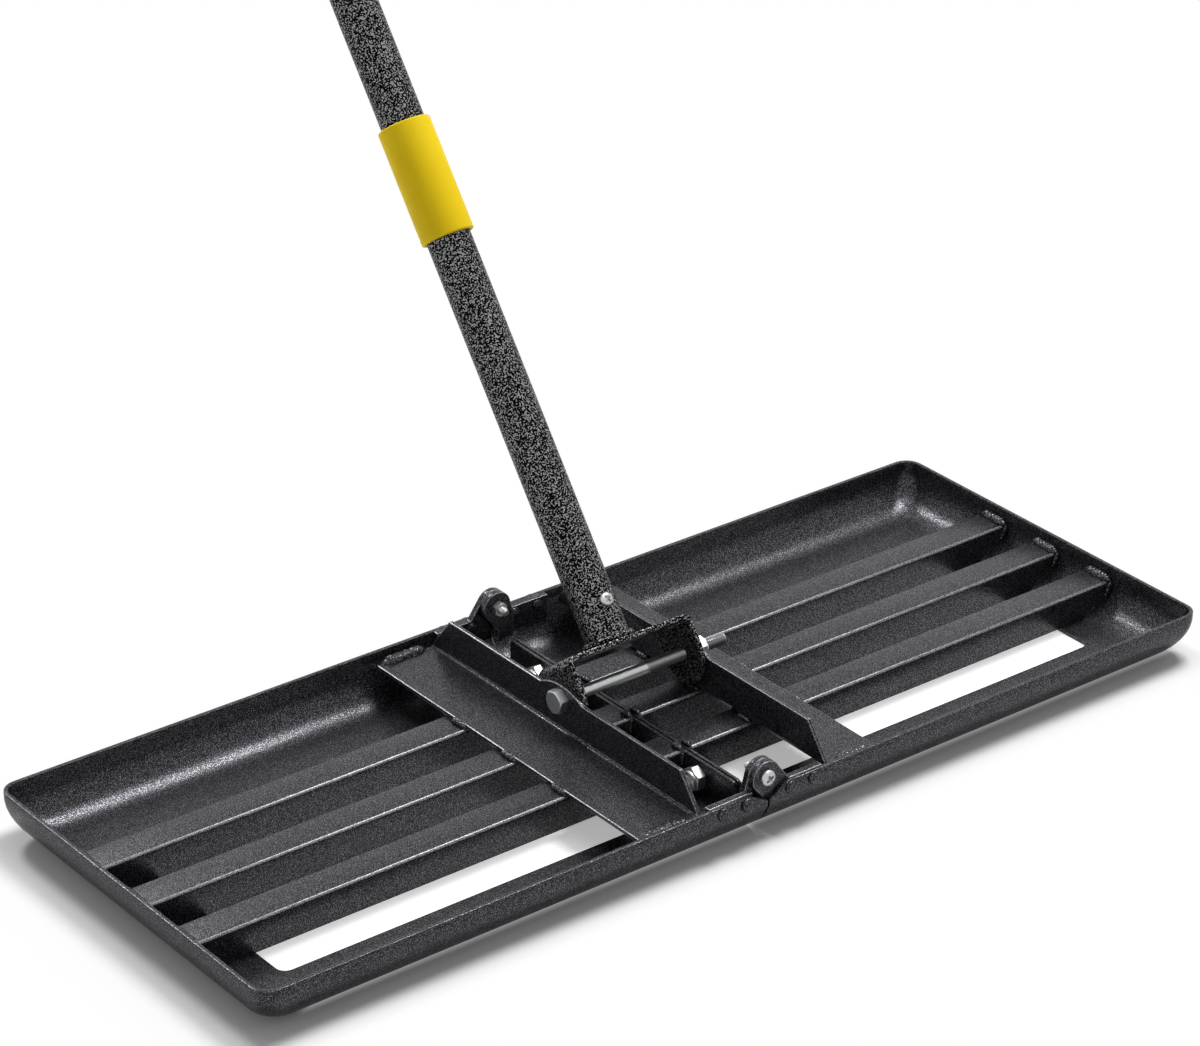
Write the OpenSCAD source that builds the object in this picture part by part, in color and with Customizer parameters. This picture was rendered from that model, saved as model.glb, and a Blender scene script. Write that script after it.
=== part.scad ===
// Lawn leveling rake: a shallow pressed steel base in two halves that meet at a pair of hinges,
// welded slats inside, two angle plates, and a tube handle on a tilting yoke.
// X runs along the base, +Y points to the side the handle leans to, +Z is up.
// The origin is on the ground at the middle of the base.

/* [Base pans] */
// Overall length of the base
base_length = 660; // [500:1:900]
// Overall depth of the base, front to back
base_depth = 254; // [240:1:320]
// Height of the rim above the ground
rim_height = 30; // [28:0.5:34]
// Thickness of the sheet steel of pans, slats, webs and angle plates
sheet = 2.5; // [2:0.1:3]
// Outer radius of the curve between floor and walls
cove_radius = 25; // [20:0.5:26]
// Outer radius of the rim's corners seen from above
rim_corner_radius = 11; // [8:0.5:16]
// Gap between the two halves
split_gap = 0.5; // [0.2:0.1:1]
// Half width of the notch in each wall at the split, at the rim
notch_half_width = 14; // [10:1:18]
// Height of the notch's lowest point
notch_bottom_z = 23; // [20:0.5:26]

/* [Floor windows] */
// Floor left between a window and the end rim
window_end_border = 43; // [40:1:90]
// Inner end of a window, from the middle of the base
window_inner_x = 22; // [15:1:40]
// Floor left between the windows and the near rim
window_near_border = 46; // [40:1:55]
// Floor left between the windows and the far rim
window_far_border = 50; // [40:1:55]
// Corner radius of a window
window_radius = 6; // [3:0.5:10]

/* [Slats] */
// Slats in each half
slat_count = 3; // [2:1:3]
// Distance of the nearest slat from the near rim
slat_near_border = 70; // [65:0.5:77]
// Distance from one slat to the next
slat_pitch = 45.2; // [40:0.1:46]
// Width of a slat's top
slat_width = 19.5; // [14:0.5:24]
// Height of the slats' tops
slat_top_z = 22; // [18:0.5:23]
// Room between a slat's ends and the wall and web that they meet, which the welds fill
slat_end_gap = 0.1; // [0.05:0.05:0.5]

/* [Middle webs] */
// Room between the webs' ends and the curves of the long walls
web_end_room = 1; // [0:0.5:10]
// Radius of the webs' upper corners
web_corner_radius = 2.5; // [1:0.5:6]
// Distance of the lock bolts from the middle of the base
lock_bolt_y = 71; // [66:1:90]
// Height of the lock bolts
lock_bolt_z = 12; // [11:0.5:14]

/* [Angle plates] */
// Inner face of the left upright, from the middle of the base
left_upright_x = 41.5; // [41:0.5:46]
// Inner face of the right upright, from the middle of the base
right_upright_x = 46; // [45:0.5:50]
// Outer edge of both plates, from the middle of the base
plate_outer_x = 83.5; // [75:0.5:95]
// Room between the plates' ends and the long walls
plate_end_room = 5; // [5:0.5:15]
// Height of the uprights' top edges
upright_top_z = 46.5; // [44:0.5:50]
// Length of the slope at each end of an upright
end_slope_run = 15.5; // [8:0.5:25]
// Height left of an upright at its ends, above the plate
end_slope_foot = 1.5; // [1:0.5:5]
// Width of the raised lug around the pivot bolt
lug_chord = 38; // [30:1:50]
// Rise of the lug above the upright's top edge
lug_rise = 5; // [3:0.5:8]
// Inside radius of the plates' bend
bend_radius = 2; // [1:0.5:4]

/* [Hinges] */
// Height of the hinge axis
hinge_z = 36; // [35:0.5:38]
// Radius of the hinge ears
ear_radius = 9.5; // [8:0.1:9.6]
// Thickness of the hinge leaves
leaf_thick = 4; // [3:0.5:4.5]
// Reach of a leaf along the wall, from the hinge axis
leaf_reach = 40; // [36:1:41]
// Lower edge of the leaves
leaf_bottom_z = 14; // [12:0.5:17]
// Gap between the two ears of a hinge
ear_gap = 0.3; // [0.2:0.05:0.5]
// Distance from the axis at which an offset leaf steps inward
step_x = 11.6; // [11.5:0.05:12]
// Length of that step
step_length = 1.8; // [1.5:0.1:1.9]
// Diameter of the hinge screws
hinge_screw_dia = 5; // [4:0.5:6]
// Head diameter of the hinge screws
hinge_screw_head_dia = 9.5; // [8:0.1:10.5]
// Head height of the hinge screws
hinge_screw_head_height = 3.2; // [2.5:0.1:4]
// Width across flats of the hinge nuts
hinge_nut_flats = 8; // [7:0.1:10]
// Height of the hinge nuts
hinge_nut_height = 4; // [3:0.1:6]
// Thread of a hinge screw that shows past its nut
hinge_screw_tip = 4.5; // [0.5:0.5:8]
// Distance of the inner rivets from the hinge axis
rivet_inner_x = 15.5; // [15.5:0.5:17]
// Distance of the outer rivets from the hinge axis
rivet_outer_x = 32; // [28:0.5:34]
// Height of the rivets
rivet_z = 25.5; // [23:0.5:25.5]
// Shank diameter of the rivets
rivet_dia = 5; // [4:0.5:6]
// Head diameter of the rivets, outside the wall
rivet_head_dia = 8; // [7:0.5:10]
// Head height of the rivets
rivet_head_height = 2; // [1.5:0.1:3]
// Diameter of the rivets' closed ends, inside
rivet_tail_dia = 7; // [6:0.1:7.5]
// Height of the rivets' closed ends
rivet_tail_height = 1.6; // [1:0.1:2.5]

/* [Bolts] */
// Height of the pivot bolt
pivot_z = 42.5; // [41:0.5:44]
// Diameter of the pivot bolt and the lock bolts
bolt_dia = 8; // [7:0.5:8]
// Width across flats of the pivot bolt's head and the lock nuts
bolt_flats = 13; // [12:0.1:14]
// Height of the pivot bolt's head
bolt_head_height = 5.3; // [4:0.1:6]
// Diameter of the lock bolts' low round heads
round_head_dia = 16; // [14:0.5:16]
// Height of the lock bolts' low round heads
round_head_height = 4.2; // [3:0.1:5]
// Height of the hexagon of the lock nuts
nut_hex_height = 6.5; // [5:0.1:8]
// Height of the round collar of the lock nuts
nut_collar_height = 1.6; // [1:0.1:3]
// Diameter of the round collar of the lock nuts
nut_collar_dia = 11.6; // [10.5:0.1:11.9]
// Diameter of the pivot washer
washer_dia = 16; // [14:0.5:18]
// Thickness of the pivot washer
washer_thick = 1.6; // [1:0.1:2]
// End of the pivot bolt, from the middle of the base
pivot_tip_x = 73; // [62:0.5:75]
// Thread of a lock bolt that shows past its nut
lock_bolt_tip = 0.6; // [0.3:0.1:3]
// Diameter of the plain bolt holes in sheet metal
bolt_hole_dia = 8.6; // [8.4:0.1:9]

/* [Yoke] */
// Thickness of the yoke's strap
strap_thick = 3; // [2.5:0.1:4]
// Width of the yoke's strap
strap_width = 36; // [30:0.5:37]
// Top of the yoke above the pivot axis, along the handle
yoke_rise = 20; // [19.5:0.5:24]
// Outside radius of the yoke's bends
yoke_bend_radius = 5; // [5:0.5:8]
// Side play of the yoke between the uprights, on each side
yoke_side_play = 0.3; // [0.2:0.05:0.6]
// Radial running clearance of the yoke on its bolt
pivot_clearance = 0.05; // [0.02:0.01:0.1]
// Diameter of the collar at the foot of the handle
foot_collar_dia = 29; // [27:0.5:32]
// Height of that collar
foot_collar_height = 3; // [2:0.5:4]
// Length of the spigot inside the lowest tube
spigot_length = 60; // [40:1:80]

/* [Handle] */
// Lean of the handle from upright
handle_lean = 37.5; // [30:0.5:45]
// Outer diameter of the handle tubes
tube_dia = 26; // [24:0.5:27]
// Wall of the handle tubes
tube_wall = 0.8; // [0.7:0.1:1.5]
// Distance between the joints of the handle
joint_pitch = 300; // [250:10:320]
// Length of the joiners inside the handle's joints
joiner_length = 80; // [60:5:150]
// Wall of the spigot and the joiners
joiner_wall = 0.8; // [0.7:0.1:2]
// Room between the tubes and what slides into them
tube_fit = 0.1; // [0.05:0.05:0.2]
// Outer diameter of the joint sleeves
sleeve_dia = 31.2; // [29:0.1:34]
// Length of the joint sleeves
sleeve_length = 69; // [50:1:90]
// Outer diameter of the grip
grip_dia = 34; // [30:0.5:38]
// Length of the grip
grip_length = 160; // [120:5:250]
// Thickness of the end cap
cap_thick = 4; // [3:0.5:8]
// Depth of the end cap's plug inside the tube
cap_plug_depth = 14; // [10:1:20]
// Height of the cross screw above the pivot axis, along the handle
cross_screw_h = 43; // [40:0.5:60]
// Diameter of the cross screw
cross_screw_dia = 4; // [3:0.5:5]
// Head diameter of the cross screw
cross_screw_head_dia = 8; // [7:0.1:9]
// Head height of the cross screw
cross_screw_head_height = 2.4; // [2:0.1:3]
// Length of the cross screw under its head
cross_screw_length = 8; // [6:0.5:9]

/* [Hidden] */
$fn = 64;

paint = "#34353a";
hammered = "#3c3c3e";
zinc = "#b9bbb8";
yellow = "#d6b826";
rubber = "#1d1d1f";

overrun = 1;
hex_sides = 6;
fit_gap = 0.05;
corner_room = 0.4;
ear_side_angle = 30;
ear_foot_angle = 310;
neck_run_share = 1.7;
half_length = base_length / 2;
half_depth = base_depth / 2;
wall_inside_y = half_depth - sheet;
inner_cove = cove_radius - sheet;
window_outer_x = half_length - window_end_border;
window_near_y = half_depth - window_near_border;
window_far_y = half_depth - window_far_border;
slat_first_y = slat_near_border - half_depth;
web_half_span = half_depth - cove_radius - web_end_room;
plate_half_span = wall_inside_y - plate_end_room;
// Radius of the ball that rounds each lower corner where two curves of the pan meet
corner_ball = (cove_radius - rim_corner_radius) * sqrt(2) + rim_corner_radius + corner_room;
plate_top_z = slat_top_z + sheet;
lug_radius = (pow(lug_chord / 2, 2) + pow(lug_rise, 2)) / (2 * lug_rise);
lug_top_z = upright_top_z + lug_rise;
outer_ear_y = wall_inside_y - leaf_thick;
inner_ear_y = outer_ear_y - ear_gap - leaf_thick;
yoke_left_x = -left_upright_x + yoke_side_play;
yoke_right_x = right_upright_x - yoke_side_play;
foot_h = yoke_rise + foot_collar_height;
joint_count = 4;
handle_top_h = (joint_count + 1) * joint_pitch;
joiner_dia = tube_dia - 2 * tube_wall - 2 * tube_fit;

// Where the pan's inner face is at a height on its curve
function cove_inside_y(z) = half_depth - cove_radius + sqrt(pow(inner_cove, 2) - pow(cove_radius - z, 2));

// A point of a hinge ear's edge
function ear_point(a) = [ear_radius * cos(a), hinge_z + ear_radius * sin(a)];

// Outline across an end wall, drawn in X and Z, open toward the other half
module end_profile(inset, top) {
    r = cove_radius - inset;
    x0 = -half_length + inset;
    translate([x0 + r, inset])
        square([base_length, top - inset]);
    translate([x0, cove_radius])
        square([base_length, top - cove_radius]);
    translate([x0 + r, cove_radius])
        circle(r);
}

// Outline across both long walls, drawn in Y and Z
module side_profile(inset, top) {
    r = cove_radius - inset;
    half = half_depth - inset;
    translate([-half + r, inset])
        square([2 * (half - r), top - inset]);
    translate([-half, cove_radius])
        square([2 * half, top - cove_radius]);
    for (s = [-1, 1])
        translate([s * (half - r), cove_radius])
            circle(r);
}

// Outline of the left half from above, open toward the other half
module plan_profile(inset) {
    r = rim_corner_radius - inset;
    x0 = -half_length + inset;
    half = half_depth - inset;
    translate([x0 + r, -half])
        square([base_length, 2 * half]);
    translate([x0, -half + r])
        square([base_length, 2 * (half - r)]);
    for (s = [-1, 1])
        translate([x0 + r, s * (half - r)])
            circle(r);
}

// Draws an X and Z outline as a body along Y, between two planes
module along_y(y0, y1) {
    translate([0, y1, 0])
        rotate([90, 0, 0])
            linear_extrude(height = y1 - y0)
                children();
}

// Draws a Y and Z outline as a body along X, between two planes
module along_x(x0, x1) {
    translate([x0, 0, 0])
        rotate([90, 0, 90])
            linear_extrude(height = x1 - x0)
                children();
}

// What lies outside the rounding ball in a lower corner of the pan
module corner_waste(side, inset) {
    translate([-half_length + cove_radius, side * (half_depth - cove_radius), cove_radius])
        difference() {
            translate([-cove_radius - overrun, side > 0 ? 0 : -cove_radius - overrun, -cove_radius - overrun])
                cube([cove_radius + overrun, cove_radius + overrun, cove_radius + overrun]);
            sphere(corner_ball - inset);
        }
}

// The filled form of the left half, drawn inward by an inset
module pan_form(inset, top) {
    difference() {
        intersection() {
            along_y(-half_depth, half_depth)
                end_profile(inset, top);
            along_x(-half_length, half_length)
                side_profile(inset, top);
            linear_extrude(height = top)
                plan_profile(inset);
        }
        for (side = [-1, 1])
            corner_waste(side, inset);
    }
}

module window() {
    r = window_radius;
    length = window_outer_x - window_inner_x;
    depth = window_near_y + window_far_y;
    translate([-window_outer_x, -window_near_y, -overrun])
        linear_extrude(height = sheet + 2 * overrun) {
            translate([r, 0])
                square([length - 2 * r, depth]);
            translate([0, r])
                square([length, depth - 2 * r]);
            for (x = [r, length - r], y = [r, depth - r])
                translate([x, y])
                    circle(r);
        }
}

module split_notch() {
    along_y(-half_depth - overrun, half_depth + overrun)
        polygon([
            [-notch_half_width, rim_height], [-notch_half_width, rim_height + overrun],
            [overrun, rim_height + overrun], [overrun, notch_bottom_z], [0, notch_bottom_z]
        ]);
}

// Bodies along Y at the two rivets of a left leaf
module at_left_rivets() {
    for (x = [rivet_inner_x, rivet_outer_x])
        translate([-x, 0, rivet_z])
            rotate([90, 0, 0])
                children();
}

module half_pan() {
    difference() {
        pan_form(0, rim_height);
        pan_form(sheet, rim_height + overrun);
        translate([-split_gap / 2, -base_depth, -overrun])
            cube([base_length, 2 * base_depth, rim_height + 2 * overrun]);
        window();
        split_notch();
        at_left_rivets()
            cylinder(d = rivet_dia + 2 * fit_gap, h = base_depth + 2 * overrun, center = true);
    }
}

module left_pan() {
    color(paint) half_pan();
}

module right_pan() {
    color(paint) mirror([1, 0, 0]) half_pan();
}

// Three inverted angles whose outer ends follow the wall's curve
module half_slats() {
    for (i = [0 : slat_count - 1])
        intersection() {
            y = slat_first_y + i * slat_pitch;
            along_x(-half_length, -sheet - slat_end_gap) {
                translate([y, slat_top_z - sheet])
                    square([slat_width, sheet]);
                translate([y, sheet])
                    square([sheet, slat_top_z - sheet]);
            }
            translate([slat_end_gap, 0, 0])
                along_y(-half_depth, half_depth)
                    end_profile(sheet, rim_height);
        }
}

module left_slats() {
    color(paint) half_slats();
}

module right_slats() {
    color(paint) mirror([1, 0, 0]) half_slats();
}

// The upright web at a half's inner edge, which the lock bolts clamp to the other one
module half_web() {
    r = web_corner_radius;
    difference() {
        along_x(-sheet, 0) {
            translate([-web_half_span, sheet])
                square([2 * web_half_span, slat_top_z - sheet - r]);
            translate([-web_half_span + r, sheet])
                square([2 * (web_half_span - r), slat_top_z - sheet]);
            for (s = [-1, 1])
                translate([s * (web_half_span - r), slat_top_z - r])
                    circle(r);
        }
        for (s = [-1, 1])
            translate([-sheet - overrun, s * lock_bolt_y, lock_bolt_z])
                rotate([0, 90, 0])
                    cylinder(d = bolt_hole_dia, h = sheet + 2 * overrun);
    }
}

module left_web() {
    color(paint) half_web();
}

module right_web() {
    color(paint) mirror([1, 0, 0]) half_web();
}

// Section of an angle plate with its bend, drawn in X and Z for the left half
module angle_section(inner_x) {
    r_out = bend_radius + sheet;
    difference() {
        union() {
            translate([-plate_outer_x, slat_top_z])
                square([plate_outer_x - inner_x - r_out, sheet]);
            translate([-inner_x - sheet, slat_top_z + r_out])
                square([sheet, lug_top_z - slat_top_z - r_out]);
            intersection() {
                translate([-inner_x - r_out, slat_top_z + r_out])
                    circle(r_out);
                translate([-inner_x - r_out, slat_top_z])
                    square(r_out);
            }
        }
        translate([-inner_x - r_out, slat_top_z + r_out])
            circle(bend_radius);
    }
}

// Outline of an angle plate's upright, drawn in Y and Z
module upright_outline() {
    foot_z = plate_top_z + end_slope_foot;
    shoulder_y = plate_half_span - end_slope_run;
    polygon([
        [-plate_half_span, slat_top_z], [plate_half_span, slat_top_z], [plate_half_span, foot_z],
        [shoulder_y, upright_top_z], [-shoulder_y, upright_top_z], [-plate_half_span, foot_z]
    ]);
    intersection() {
        translate([0, lug_top_z - lug_radius])
            circle(lug_radius);
        translate([-lug_chord / 2, slat_top_z])
            square([lug_chord, lug_top_z - slat_top_z]);
    }
}

module angle_plate(inner_x) {
    difference() {
        intersection() {
            along_y(-plate_half_span, plate_half_span)
                angle_section(inner_x);
            along_x(-plate_outer_x, 0)
                upright_outline();
        }
        translate([-inner_x - sheet - overrun, 0, pivot_z])
            rotate([0, 90, 0])
                cylinder(d = bolt_hole_dia, h = sheet + 2 * overrun);
    }
}

module left_angle_plate() {
    color(paint) angle_plate(left_upright_x);
}

module right_angle_plate() {
    color(paint) mirror([1, 0, 0]) angle_plate(right_upright_x);
}

// Section of a leaf against the far wall, its back kept clear of the wall's curve, drawn in Y and Z
module leaf_section(top_z) {
    mid_z = (cove_radius + leaf_bottom_z) / 2;
    polygon([
        [outer_ear_y, top_z], [wall_inside_y, top_z], [wall_inside_y, cove_radius],
        [cove_inside_y(mid_z), mid_z], [cove_inside_y(leaf_bottom_z), leaf_bottom_z],
        [outer_ear_y, leaf_bottom_z]
    ]);
}

// Strip of a leaf, which the rivets hold to the wall
module leaf_strip(start_x) {
    along_x(-leaf_reach, -start_x)
        leaf_section(rim_height);
}

// Ear of a left leaf with the neck that runs down to the strip, drawn in X and Z
module ear_outline(neck_x) {
    translate([0, hinge_z])
        circle(ear_radius);
    polygon([
        [0, hinge_z], ear_point(ear_foot_angle), [-split_gap, rivet_z - rivet_dia],
        [-split_gap, leaf_bottom_z], [-neck_x, leaf_bottom_z], [-neck_x, rim_height],
        ear_point(180 - ear_side_angle)
    ]);
}

module ear_bore() {
    translate([0, half_depth, hinge_z])
        rotate([90, 0, 0])
            cylinder(d = hinge_screw_dia + 2 * pivot_clearance, h = base_depth);
}

// Leaf of the left half at the far wall, with its ear in the plane of its strip
module straight_leaf() {
    difference() {
        union() {
            leaf_strip(ear_radius * neck_run_share);
            intersection() {
                along_y(outer_ear_y, wall_inside_y)
                    ear_outline(ear_radius * neck_run_share);
                along_x(-leaf_reach, leaf_reach)
                    leaf_section(hinge_z + ear_radius + overrun);
            }
        }
        ear_bore();
        at_left_rivets()
            cylinder(d = rivet_dia + 2 * fit_gap, h = base_depth + 2 * overrun, center = true);
    }
}

// Leaf of the left half at the far wall, with its ear one leaf further in
module offset_leaf() {
    difference() {
        union() {
            leaf_strip(step_x - step_length);
            along_y(inner_ear_y, outer_ear_y + ear_gap)
                translate([-step_x, leaf_bottom_z])
                    square([step_length, rim_height - leaf_bottom_z]);
            along_y(inner_ear_y, inner_ear_y + leaf_thick)
                ear_outline(step_x);
        }
        ear_bore();
        at_left_rivets()
            cylinder(d = rivet_dia + 2 * fit_gap, h = base_depth + 2 * overrun, center = true);
    }
}

module far_left_leaf() {
    color(paint) straight_leaf();
}

module far_right_leaf() {
    color(paint) mirror([1, 0, 0]) offset_leaf();
}

module near_left_leaf() {
    color(paint) mirror([0, 1, 0]) offset_leaf();
}

module near_right_leaf() {
    color(paint) mirror([1, 0, 0]) mirror([0, 1, 0]) straight_leaf();
}

// Low dome that stands on the XY plane
module dome(d, h) {
    ball = (pow(d / 2, 2) + pow(h, 2)) / (2 * h);
    intersection() {
        translate([0, 0, h - ball])
            sphere(ball);
        cylinder(d = d + overrun, h = h + overrun);
    }
}

// Repeats a piece of the far left leaf at all four leaves
module at_four_leaves() {
    for (mx = [0, 1], my = [0, 1])
        mirror([mx, 0, 0])
            mirror([0, my, 0])
                children();
}

module hinge_rivets() {
    color(paint)
        at_four_leaves()
            at_left_rivets() {
                translate([0, 0, -half_depth])
                    cylinder(d = rivet_dia, h = half_depth - outer_ear_y);
                translate([0, 0, -half_depth])
                    mirror([0, 0, 1])
                        dome(rivet_head_dia, rivet_head_height);
                translate([0, 0, -outer_ear_y])
                    dome(rivet_tail_dia, rivet_tail_height);
            }
}

// Repeats a piece of the far hinge at both hinges
module at_both_hinges() {
    for (my = [0, 1])
        mirror([0, my, 0])
            translate([0, 0, hinge_z])
                rotate([90, 0, 0])
                    children();
}

module hinge_screws() {
    nut_end_y = inner_ear_y - hinge_nut_height;
    color(zinc)
        at_both_hinges() {
            translate([0, 0, -wall_inside_y])
                cylinder(d = hinge_screw_dia, h = wall_inside_y - nut_end_y + hinge_screw_tip);
            translate([0, 0, -wall_inside_y])
                mirror([0, 0, 1])
                    dome(hinge_screw_head_dia, hinge_screw_head_height);
        }
}

// Hexagon prism on the XY plane, sized across its flats
module hexagon(flats, h) {
    cylinder(d = flats / cos(180 / hex_sides), h = h, $fn = hex_sides);
}

module hinge_nuts() {
    color(zinc)
        at_both_hinges()
            translate([0, 0, -inner_ear_y])
                difference() {
                    hexagon(hinge_nut_flats, hinge_nut_height);
                    translate([0, 0, -overrun])
                        cylinder(d = hinge_screw_dia + 2 * fit_gap, h = hinge_nut_height + 2 * overrun);
                }
}

// Bolt along +Z with the head that is given, below the XY plane
module bolt(shank_length) {
    cylinder(d = bolt_dia, h = shank_length);
    mirror([0, 0, 1])
        children();
}

// Lock nut on the XY plane, its round collar on top
module lock_nut() {
    difference() {
        union() {
            hexagon(bolt_flats, nut_hex_height);
            cylinder(d = nut_collar_dia, h = nut_hex_height + nut_collar_height);
        }
        translate([0, 0, -overrun])
            cylinder(d = bolt_dia + 2 * fit_gap, h = nut_hex_height + nut_collar_height + 2 * overrun);
    }
}

// Turns a piece along +Z toward the left at both lock bolts
module at_lock_bolts(x) {
    for (s = [-1, 1])
        translate([x, s * lock_bolt_y, lock_bolt_z])
            rotate([0, -90, 0])
                children();
}

module lock_bolts() {
    grip = 2 * sheet + nut_hex_height + nut_collar_height;
    color(zinc)
        at_lock_bolts(sheet)
            bolt(grip + lock_bolt_tip)
                dome(round_head_dia, round_head_height);
}

module lock_nuts() {
    color(zinc)
        at_lock_bolts(-sheet)
            lock_nut();
}

// Turns a piece along +Z toward the right, on the pivot axis
module on_pivot(x) {
    translate([x, 0, pivot_z])
        rotate([0, 90, 0])
            children();
}

module pivot_bolt() {
    head_x = -left_upright_x - sheet;
    color(zinc)
        on_pivot(head_x)
            bolt(pivot_tip_x - head_x)
                hexagon(bolt_flats, bolt_head_height);
}

module pivot_washer() {
    color(zinc)
        on_pivot(right_upright_x + sheet)
            difference() {
                cylinder(d = washer_dia, h = washer_thick);
                translate([0, 0, -overrun])
                    cylinder(d = bolt_hole_dia, h = washer_thick + 2 * overrun);
            }
}

module pivot_nut() {
    color(zinc)
        on_pivot(right_upright_x + sheet + washer_thick)
            lock_nut();
}

// Places what is drawn along +Z from the pivot axis at the handle's lean
module leaned() {
    translate([0, 0, pivot_z])
        rotate([-handle_lean, 0, 0])
            children();
}

// Outline of the yoke's bent strap, drawn in X and Z and drawn inward by an inset
module yoke_profile(inset) {
    r = yoke_bend_radius - inset;
    x0 = yoke_left_x + inset;
    x1 = yoke_right_x - inset;
    top = yoke_rise - inset;
    bottom = -strap_width;
    translate([x0, bottom])
        square([x1 - x0, top - r - bottom]);
    translate([x0 + r, bottom])
        square([x1 - x0 - 2 * r, top - bottom]);
    for (x = [x0 + r, x1 - r])
        translate([x, top - r])
            circle(r);
}

module yoke() {
    color(hammered)
        leaned()
            difference() {
                intersection() {
                    along_y(-strap_width / 2, strap_width / 2)
                        difference() {
                            yoke_profile(0);
                            yoke_profile(strap_thick);
                        }
                    along_x(yoke_left_x, yoke_right_x) {
                        circle(d = strap_width);
                        translate([-strap_width / 2, 0])
                            square([strap_width, yoke_rise]);
                    }
                }
                translate([yoke_left_x - overrun, 0, 0])
                    rotate([0, 90, 0])
                        cylinder(d = bolt_dia + 2 * pivot_clearance, h = yoke_right_x - yoke_left_x + 2 * overrun);
            }
}

// Tube along +Z between two heights
module pipe(outer, inner, h0, h1) {
    translate([0, 0, h0])
        difference() {
            cylinder(d = outer, h = h1 - h0);
            translate([0, 0, -overrun])
                cylinder(d = inner, h = h1 - h0 + 2 * overrun);
        }
}

// Hole of the cross screw, toward the near side of the handle
module cross_bore(d) {
    translate([0, 0, cross_screw_h])
        rotate([90, 0, 0])
            cylinder(d = d, h = tube_dia);
}

module spigot() {
    color(hammered)
        leaned()
            difference() {
                union() {
                    pipe(foot_collar_dia, joiner_dia - 2 * joiner_wall, yoke_rise, foot_h);
                    pipe(joiner_dia, joiner_dia - 2 * joiner_wall, yoke_rise, foot_h + spigot_length);
                }
                cross_bore(cross_screw_dia + 2 * fit_gap);
            }
}

module cross_screw() {
    color(zinc)
        leaned()
            translate([0, -tube_dia / 2, cross_screw_h])
                rotate([90, 0, 0]) {
                    translate([0, 0, -cross_screw_length])
                        cylinder(d = cross_screw_dia, h = cross_screw_length);
                    dome(cross_screw_head_dia, cross_screw_head_height);
                }
}

module handle_tube(h0, h1) {
    pipe(tube_dia, tube_dia - 2 * tube_wall, h0, h1);
}

module lower_tube() {
    color(hammered)
        leaned()
            difference() {
                handle_tube(foot_h, joint_pitch);
                cross_bore(cross_screw_dia + 2 * fit_gap);
            }
}

// A full tube of the handle, counted from the joint at its lower end
module tube_above_joint(i) {
    color(hammered)
        leaned()
            handle_tube(i * joint_pitch, (i + 1) * joint_pitch);
}

module second_tube() {
    tube_above_joint(1);
}

module third_tube() {
    tube_above_joint(2);
}

module fourth_tube() {
    tube_above_joint(3);
}

module upper_tube() {
    tube_above_joint(4);
}

// Repeats a piece at every joint of the handle
module at_joints() {
    for (i = [1 : joint_count])
        translate([0, 0, i * joint_pitch])
            children();
}

module joiners() {
    color(zinc)
        leaned()
            at_joints()
                pipe(joiner_dia, joiner_dia - 2 * joiner_wall, -joiner_length / 2, joiner_length / 2);
}

module joint_sleeves() {
    color(yellow)
        leaned()
            at_joints()
                pipe(sleeve_dia, tube_dia + 2 * tube_fit, -sleeve_length / 2, sleeve_length / 2);
}

module grip() {
    color(rubber)
        leaned()
            pipe(grip_dia, tube_dia + 2 * tube_fit, handle_top_h - grip_length, handle_top_h);
}

module end_cap() {
    color(rubber)
        leaned() {
            translate([0, 0, handle_top_h])
                cylinder(d = grip_dia, h = cap_thick);
            translate([0, 0, handle_top_h - cap_plug_depth])
                cylinder(d = joiner_dia, h = cap_plug_depth);
        }
}

left_pan();
right_pan();
left_slats();
right_slats();
left_web();
right_web();
left_angle_plate();
right_angle_plate();
near_left_leaf();
near_right_leaf();
far_left_leaf();
far_right_leaf();
hinge_rivets();
hinge_screws();
hinge_nuts();
lock_bolts();
lock_nuts();
pivot_bolt();
pivot_washer();
pivot_nut();
yoke();
spigot();
cross_screw();
lower_tube();
second_tube();
third_tube();
fourth_tube();
upper_tube();
joiners();
joint_sleeves();
grip();
end_cap();
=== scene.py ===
"""Lawn leveling rake: the finished look of every piece, in metres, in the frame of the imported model."""
import math
import random

import bmesh
import bpy
from mathutils import Matrix, Vector


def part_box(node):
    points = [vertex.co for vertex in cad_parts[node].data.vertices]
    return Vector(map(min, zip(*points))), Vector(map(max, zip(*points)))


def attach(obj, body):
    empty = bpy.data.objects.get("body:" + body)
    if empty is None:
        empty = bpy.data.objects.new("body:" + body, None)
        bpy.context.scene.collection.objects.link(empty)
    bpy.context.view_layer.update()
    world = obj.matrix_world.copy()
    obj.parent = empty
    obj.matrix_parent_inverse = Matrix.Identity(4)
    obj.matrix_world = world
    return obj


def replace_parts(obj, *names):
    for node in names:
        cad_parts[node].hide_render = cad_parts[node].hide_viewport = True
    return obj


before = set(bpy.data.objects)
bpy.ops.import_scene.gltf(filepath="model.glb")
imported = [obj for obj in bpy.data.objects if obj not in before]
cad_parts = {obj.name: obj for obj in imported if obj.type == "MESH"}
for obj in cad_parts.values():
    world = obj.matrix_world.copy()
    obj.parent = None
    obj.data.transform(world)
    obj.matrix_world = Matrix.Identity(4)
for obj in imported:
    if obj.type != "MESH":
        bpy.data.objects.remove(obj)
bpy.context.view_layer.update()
random.seed(7)

MM = 0.001
BASE, HANDLE = "base", "handle"

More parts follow.
